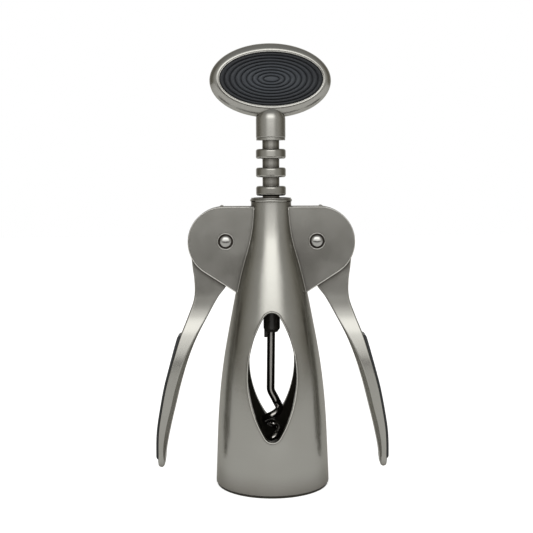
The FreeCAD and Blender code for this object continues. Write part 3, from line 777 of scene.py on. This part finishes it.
def windowLine(spec):
    # closed almond line (x, z): end arcs and long side arcs that meet smoothly, grown outward by out
    def quarter(up, end, corner):
        middle = end - up * corner
        drop = abs(middle - spec["widest"])
        sideRadius = (spec["halfWidth"]**2 + drop**2 - corner**2) / (2 * (spec["halfWidth"] - corner))
        lean = math.atan2(drop, sideRadius - spec["halfWidth"])
        side = np.linspace(0.0, lean, 60)[:-1]
        cap = np.linspace(lean, math.pi / 2, 16)
        grown, cornerGrown = sideRadius + spec["out"], corner + spec["out"]
        x = np.concatenate([spec["halfWidth"] - sideRadius + grown * np.cos(side), cornerGrown * np.cos(cap)])
        z = np.concatenate([spec["widest"] + up * grown * np.sin(side), middle + up * cornerGrown * np.sin(cap)])
        return x, z

    topX, topZ = quarter(1, spec["top"], spec["topRound"])
    lowX, lowZ = quarter(-1, spec["bottom"], spec["bottomRound"])
    x = np.concatenate([topX, -topX[-2:0:-1], -lowX, lowX[-2:0:-1]])
    z = np.concatenate([topZ, topZ[-2:0:-1], lowZ, lowZ[-2:0:-1]])
    return x, z


def bellDepth(x, z):
    # distance from the XZ plane to the bell's outer surface, read along Y from the frame's own casting
    surface = nodes["bell_frame"]
    depths = []
    for across, height in zip(x, z):
        hit = surface.ray_cast(Vector((across, -0.1, height)), Vector((0, 1, 0)))
        depths.append(-hit[1].y if hit[0] and hit[1].y < 0 else math.nan)
    depths = np.array(depths)
    good = ~np.isnan(depths)
    return np.interp(np.arange(len(depths)), np.flatnonzero(good), depths[good])


def makeLip(name, spec, side):
    x, z = windowLine(spec)
    y = -side * (bellDepth(x, z) - spec["sink"])
    path = np.stack([x, y, z], axis=-1)
    count = len(path)
    wrapped = np.concatenate([path[-2:], path, path[:2]])
    reference = np.tile([0.0, 1.0, 0.0], (count + 4, 1))
    grid = tubePoints(wrapped, reference, np.full(count + 4, spec["beadRadius"]), spec["around"])[2:-2]
    if side > 0:
        grid = grid[:, ::-1]
    makeSurface(name, [(grid, True, True)], smoothNickel, body="frame")


makeLip("frontWindowLip", windowLip, 1)
makeLip("rearWindowLip", windowLip, -1)
print("window lips made")

# Fine beads: rounded corners of the casting; all but the collar's rim are in a much lighter nickel, a painted
# highlight

pivot = {"out": 0.018450255, "height": 0.1005}     # the right lever's axis

earLine = {
    "centreOut": 0.00095,           # the rim's centre from the pivot
    "centreDrop": 0.0004,
    "radius": 0.0144,
    "slope": 33.0,                  # degrees, of the lower edge
    "foot": 0.0137,                 # where the lower edge meets the bell
    "collar": 0.0082,
    "face": 0.00445,
    "inset": 0.00028,
    "rimBead": 0.00021,
    "creaseBead": 0.00021,
    "pinRing": 0.00322,
    "pinBead": 0.00015,
    "sink": 0.0001,                 # of the rim bead, and of the crease's ends
}
beadAround = 10


def makeBead(name, path, reference, radius, closed, material=highlightNickel, body="frame"):
    # a thin tube along a path; a closed path meets itself, an open one ends in points
    count = len(path)
    if closed:
        path = np.concatenate([path[-2:], path, path[:2]])
        grid = tubePoints(path, np.tile(reference, (count + 4, 1)), np.full(count + 4, radius), beadAround)[2:-2]
    else:
        width = np.full(count, radius)
        width[[0, -1]] = 0.02 * radius
        grid = tubePoints(path, np.tile(reference, (count, 1)), width, beadAround)
    makeSurface(name, [(grid[:, ::-1], closed, True)], material, body=body)


def bellRadius(heights):
    # radius of the bell's outer surface, read half way between front and side
    surface = nodes["bell_frame"]
    radii = []
    for height in heights:
        hit = surface.ray_cast(Vector((0.07, -0.07, height)), Vector((-1, 1, 0)).normalized())
        radii.append(math.hypot(hit[1].x, hit[1].y))
    return np.array(radii)


def makeEarBeads(spec):
    centre = pivot["out"] + spec["centreOut"], pivot["height"] - spec["centreDrop"]
    radius = spec["radius"] - spec["inset"]
    slope = math.radians(spec["slope"])
    arc = np.linspace(math.pi / 2, slope - math.pi / 2, 48)
    arcX, arcZ = centre[0] + radius * np.cos(arc), centre[1] + radius * np.sin(arc)
    topX = np.linspace(spec["collar"], arcX[0], 12)[:-1]
    lowX = np.linspace(arcX[-1], spec["foot"] + 0.0002, 12)[1:]
    rimX = np.concatenate([topX, arcX, lowX])
    rimZ = np.concatenate([np.full(len(topX), arcZ[0]), arcZ, arcZ[-1] - (arcX[-1] - lowX) * math.tan(slope)])
    creaseZ = np.linspace(rimZ[-1] - spec["sink"], rimZ[0] - spec["sink"], 60)
    creaseX = np.sqrt(bellRadius(creaseZ)**2 - spec["face"]**2)
    turns = np.linspace(0.0, 2 * math.pi, 48, endpoint=False)
    ringX = pivot["out"] + spec["pinRing"] * np.cos(turns)
    ringZ = pivot["height"] + spec["pinRing"] * np.sin(turns)
    for side, sideName in ((1, "right"), (-1, "left")):
        for facing, faceName in ((-1, "Front"), (1, "Rear")):
            for kind, x, z, bead, closed in (("EarRim", rimX, rimZ, spec["rimBead"], False),
                                             ("EarCrease", creaseX, creaseZ, spec["creaseBead"], False),
                                             ("PinRing", ringX, ringZ, spec["pinBead"], True)):
                depth = spec["face"] - (spec["sink"] if kind == "EarRim" else 0.0)
                path = np.stack([side * x, np.full(len(x), facing * depth), z], axis=-1)
                makeBead(sideName + faceName + kind, path, [0.0, 1.0, 0.0], bead, closed)


collarRim = {"radius": 0.0079, "height": 0.1169, "bead": 0.00062, "around": 96}


def makeCollarRim(spec):
    turns = np.linspace(0.0, 2 * math.pi, spec["around"], endpoint=False)
    path = np.stack([spec["radius"] * np.cos(turns), spec["radius"] * np.sin(turns),
                     np.full(len(turns), spec["height"])], axis=-1)
    makeBead("collarRim", path, [0.0, 0.0, 1.0], spec["bead"], True, material=smoothNickel)


makeEarBeads(earLine)
makeCollarRim(collarRim)
print("ear beads and collar rim made")

lipBead = {"out": -0.00002, "radius": 0.00016}      # out from the pad's ellipse


def makeBezelLip(name, spec, side):
    # the rolled edge between the bezel and the pad, in the lighter nickel as a painted highlight
    turns = np.linspace(0.0, 2 * math.pi, handle["around"], endpoint=False)
    wide = handle["halfWidth"] - handle["rim"] - handle["sides"] + spec["out"]
    tall = handle["halfHeight"] - handle["rim"] + spec["out"]
    depth = -side * (handle["halfDepth"] - spec["radius"])
    height = handleMiddle + handle["padLift"] + tall * np.sin(turns)
    path = np.stack([wide * np.cos(turns), np.full(len(turns), depth), height], axis=-1)
    path = turnAbout(path, handle["turn"])
    makeBead(name, path, [0.0, 1.0, 0.0], spec["radius"], True, body="screw")


makeBezelLip("frontBezelLip", lipBead, 1)
makeBezelLip("rearBezelLip", lipBead, -1)
print("bezel lips made")

# Levers: toothed plate between the ears and an arm that widens into the grip

lever = {
    "halfThickness": 0.0024,
    "teeth": 12,
    "firstTooth": -1,
    "lastTooth": 5,
    "phase": 6.6,                       # degrees, the tooth nearest the pivots' height
    "tipRadius": 0.01465,
    "rootRadius": 0.0122,
    "toothTip": 0.00095,                # half widths
    "toothRoot": 0.0014,
    "chamfer": 0.0003,
    "rimStart": 0.05,                   # radians from the last tooth to the plain rim
    "hookBack": 0.55,                   # the plate ends this share of a tooth's step before the first tooth
    "hookDrop": 0.0011,
    "hookTurn": 0.04,
    "rootPull": ((0.0, -0.016), (-0.0003, -0.016)),     # where the rim runs into the arm's outer edge
    # stations from root to tip
    "height": [0.0960, 0.0900, 0.0840, 0.0774, 0.0700, 0.06248, 0.0525,
               0.04225, 0.0320, 0.02225, 0.0125, 0.0087, 0.0073, 0.0067],
    "outer": [0.0327, 0.0321, 0.0314, 0.0316, 0.0341, 0.03709, 0.0402,
              0.0431, 0.0452, 0.04675, 0.0472, 0.0472, 0.0470, 0.0465],
    "inner": [0.0240, 0.0195, 0.0177, 0.0220, 0.0261, 0.03007, 0.0342,
              0.0374, 0.0400, 0.04235, 0.0442, 0.0446, 0.0449, 0.0455],
    "halfDepth": [0.00245, 0.00245, 0.00245, 0.00255, 0.0031, 0.0048, 0.0062,
                  0.0064, 0.0060, 0.0053, 0.0045, 0.0040, 0.0031, 0.0021],
    "bevel": [0.0004, 0.0004, 0.0004, 0.0004, 0.0004, 0.0008, 0.00153,
              0.0017, 0.0017, 0.0017, 0.0010, 0.0004, 0.0004, 0.0002],
    "rootStation": 2,                   # the toothed plate ends at this station
    "edge": 0.0004,
    "rounding": 0.00035,
    "tipDrop": 0.00022,                 # how far the tip bulges below the last station
    "rows": 150,
}

grip = {
    "top": 0.0622,
    "bottom": 0.0104,
    "thickness": (0.00115, 0.0008),     # at the top and further down
    "inset": 0.0005,
    "sunk": 0.0002,
    "rounding": 0.0004,
}


def smoothLine(height, heights, values):
    # cubic through the stations, its slope at each one taken from its neighbours
    order = np.argsort(heights)
    x, y = np.array(heights)[order], np.array(values)[order]
    slope = np.gradient(y, x)
    cell = np.clip(np.searchsorted(x, height) - 1, 0, len(x) - 2)
    width = x[cell + 1] - x[cell]
    t = (height - x[cell]) / width
    return ((2 * t**3 - 3 * t**2 + 1) * y[cell] + (t**3 - 2 * t**2 + t) * width * slope[cell]
            + (-2 * t**3 + 3 * t**2) * y[cell + 1] + (t**3 - t**2) * width * slope[cell + 1])


def roundedRing(corners, rounding):
    # corners[rows, count, 2]: each one becomes a short curve with a straight hold before and after it
    before, after = np.roll(corners, 1, axis=1) - corners, np.roll(corners, -1, axis=1) - corners

    def along(edge, reach):
        length = np.maximum(np.linalg.norm(edge, axis=-1), 1e-7)
        return corners + edge * (np.minimum(reach, 0.45 * length) / length)[..., None]

    start, end = along(before, rounding), along(after, rounding)
    holds = [along(edge, 1.6 * rounding)[:, :, None] for edge in (before, after)]
    t = np.linspace(0.0, 1.0, 5)[:, None]
    curve = ((1 - t)**2 * start[:, :, None] + 2 * t * (1 - t) * corners[:, :, None] + t**2 * end[:, :, None])
    curve = np.concatenate([holds[0], curve, holds[1]], axis=2)
    return curve.reshape(len(corners), -1, 2)


def armGrid(spec):
    # horizontal rings: outer edge, front face, wide bevel towards the bell, inner face
    low, high = spec["height"][-1], spec["height"][0]
    share = np.linspace(0.0, 1.0, spec["rows"])
    height = high + (low - high) * (1 - (1 - share)**1.25)
    outer, inner, half, bevel = [
        smoothLine(height, spec["height"], spec[key]) for key in ("outer", "inner", "halfDepth", "bevel")]
    edge = np.minimum(spec["edge"], (outer - inner) / 4)
    corner = np.minimum(np.minimum(bevel, (outer - inner) / 2), half / 2)
    x = np.stack([outer, outer - edge, inner + corner, inner, inner, inner + corner, outer - edge, outer], axis=1)
    y = np.stack([edge - half, -half, -half, corner - half, half - corner, half, half, half - edge], axis=1)
    ring = roundedRing(np.stack([x, y], axis=-1), spec["rounding"])
    grid = np.concatenate([ring, np.repeat(height[:, None, None], ring.shape[1], axis=1)], axis=-1)
    # both ends draw in to almost a point
    caps = []
    for row, drop in ((grid[0], 0.0), (grid[-1], spec["tipDrop"])):
        middle = row.mean(axis=0) - [0.0, 0.0, drop]
        caps.append([middle + (row - middle) * [grow, grow, 1 - (1 - grow) ** 2] for grow in (0.01, 0.5, 0.85)])
    return np.concatenate([np.array(caps[0]), grid, np.array(caps[1])[::-1]])


def gearLine(spec):
    # the toothed rim and the arm's root as one line round the pivot; 0 degrees points at the screw
    step = 2 * math.pi / spec["teeth"]
    phase = math.radians(spec["phase"])
    rootTurn = math.atan2(spec["toothRoot"], spec["rootRadius"])
    tipTurn = math.atan2(spec["toothTip"], spec["tipRadius"] - 0.7 * spec["toothTip"])
    shoulder = math.hypot(spec["toothTip"], spec["tipRadius"] - 0.7 * spec["toothTip"])
    nose = np.linspace(-1.0, 1.0, 9)
    toothTurn = np.concatenate([[-rootTurn], tipTurn * nose, [rootTurn]])
    toothNose = shoulder + (spec["tipRadius"] - shoulder) * (1 - nose**2)
    toothRadius = np.concatenate([[spec["rootRadius"]], toothNose, [spec["rootRadius"]]])
    count = np.arange(spec["firstTooth"], spec["lastTooth"] + 1)
    turns = (phase + step * count[:, None] + toothTurn[None, :]).ravel()
    radii = np.tile(toothRadius, len(count))
    keep = turns < phase + step * spec["lastTooth"] + 1e-6
    turns, radii = turns[keep], radii[keep]
    rim = np.linspace(phase + step * spec["lastTooth"] + spec["rimStart"], math.pi, 12)
    points = [np.stack([pivot["out"] - radius * np.cos(turn), pivot["height"] + radius * np.sin(turn)], axis=-1)
              for turn, radius in ((turns, radii), (rim, spec["tipRadius"]))]
    root = spec["rootStation"]
    rootOuter = np.array([spec["outer"][root], spec["height"][root]])
    rootInner = np.array([spec["inner"][root], spec["height"][root]])
    startPull, endPull = np.array(spec["rootPull"])
    outside = hermite(points[1][-1], startPull, rootOuter, endPull, 16)[1:]
    floor = np.linspace(rootOuter, rootInner, 8)[1:]
    hookStart = 2 * math.pi + phase + step * (spec["firstTooth"] - spec["hookBack"])
    hookRadius = np.array([spec["tipRadius"] - spec["hookDrop"], spec["rootRadius"]])
    hookTurns = np.array([hookStart, hookStart + spec["hookTurn"]])
    hook = np.stack([pivot["out"] - hookRadius * np.cos(hookTurns),
                     pivot["height"] + hookRadius * np.sin(hookTurns)], axis=-1)
    return np.concatenate(points + [outside, floor, hook])


def plateGrid(spec):
    # the line is drawn in towards the pivot for both faces and runs straight across between them
    line = gearLine(spec)
    centre = np.array([pivot["out"], pivot["height"]])
    out = line - centre
    reach = np.linalg.norm(out, axis=1)
    half, chamfer = spec["halfThickness"], spec["chamfer"]
    rows = []
    for share, inset, depth in ((0.001, 0, -half), (0.6, 0, -half), (1, 2.2 * chamfer, -half), (1, chamfer, -half),
                                (1, 0.3 * chamfer, 0.3 * chamfer - half), (1, 0, chamfer - half),
                                (1, 0, half - chamfer), (1, 0.3 * chamfer, half - 0.3 * chamfer),
                                (1, chamfer, half), (1, 2.2 * chamfer, half), (0.6, 0, half), (0.001, 0, half)):
        place = centre + out * (share * (1 - inset / reach))[:, None]
        rows.append(np.stack([place[:, 0], np.full(len(place), depth), place[:, 1]], axis=-1))
    return np.array(rows)


def gripGrid(spec, arm):
    # the strip's ends are rounded over these shares of its length
    topEnd, bottomEnd = 0.018, 0.025
    share = np.concatenate([[0.0, 0.002, 0.008, topEnd], np.linspace(0.03, 1 - bottomEnd, 60), [0.985, 0.994, 1.0]])
    height = spec["top"] + (spec["bottom"] - spec["top"]) * share
    outer = smoothLine(height, arm["height"], arm["outer"]) - spec["sunk"]
    half = smoothLine(height, arm["height"], arm["halfDepth"]) - spec["inset"]
    thick = np.interp(share, [0.0, 0.3], spec["thickness"])
    ends = np.sqrt(np.clip(1 - np.clip(1 - share / topEnd, 0, 1)**2, 0.02, 1))
    ends *= np.sqrt(np.clip(1 - np.clip((share - 1 + bottomEnd) / bottomEnd, 0, 1)**2, 0.02, 1))
    thick = (thick + spec["sunk"]) * ends
    x = np.stack([outer, outer + thick, outer + thick, outer], axis=1)
    y = np.stack([-half, -half, half, half], axis=1)
    ring = roundedRing(np.stack([x, y], axis=-1), spec["rounding"])
    grid = np.concatenate([ring, np.repeat(height[:, None, None], ring.shape[1], axis=1)], axis=-1)
    # both ends draw in to almost a point
    caps = [row.mean(axis=0) + (row - row.mean(axis=0)) * 0.01 for row in (grid[0], grid[-1])]
    return np.concatenate([caps[:1], grid, caps[1:]])


def makeLever(side, sideName):
    mirror = np.array([side, 1.0, 1.0])
    grids = [armGrid(lever) * mirror, plateGrid(lever) * mirror]
    grids = [(grid if side > 0 else grid[:, ::-1], False, True) for grid in grids]
    makeSurface(sideName + "LeverCasting", grids, smoothNickel, body=sideName + "_lever",
                replaced=[sideName + "_lever"])
    strip = gripGrid(grip, lever) * mirror
    strip = strip[:, ::-1] if side > 0 else strip
    makeSurface(sideName + "GripStrip", [(strip, False, True)], finishes["black_rubber"],
                body=sideName + "_lever", replaced=[sideName + "_lever_grip"])


makeLever(1, "right")
makeLever(-1, "left")
print("levers made")

bpy.context.scene.view_settings.view_transform = "Standard"
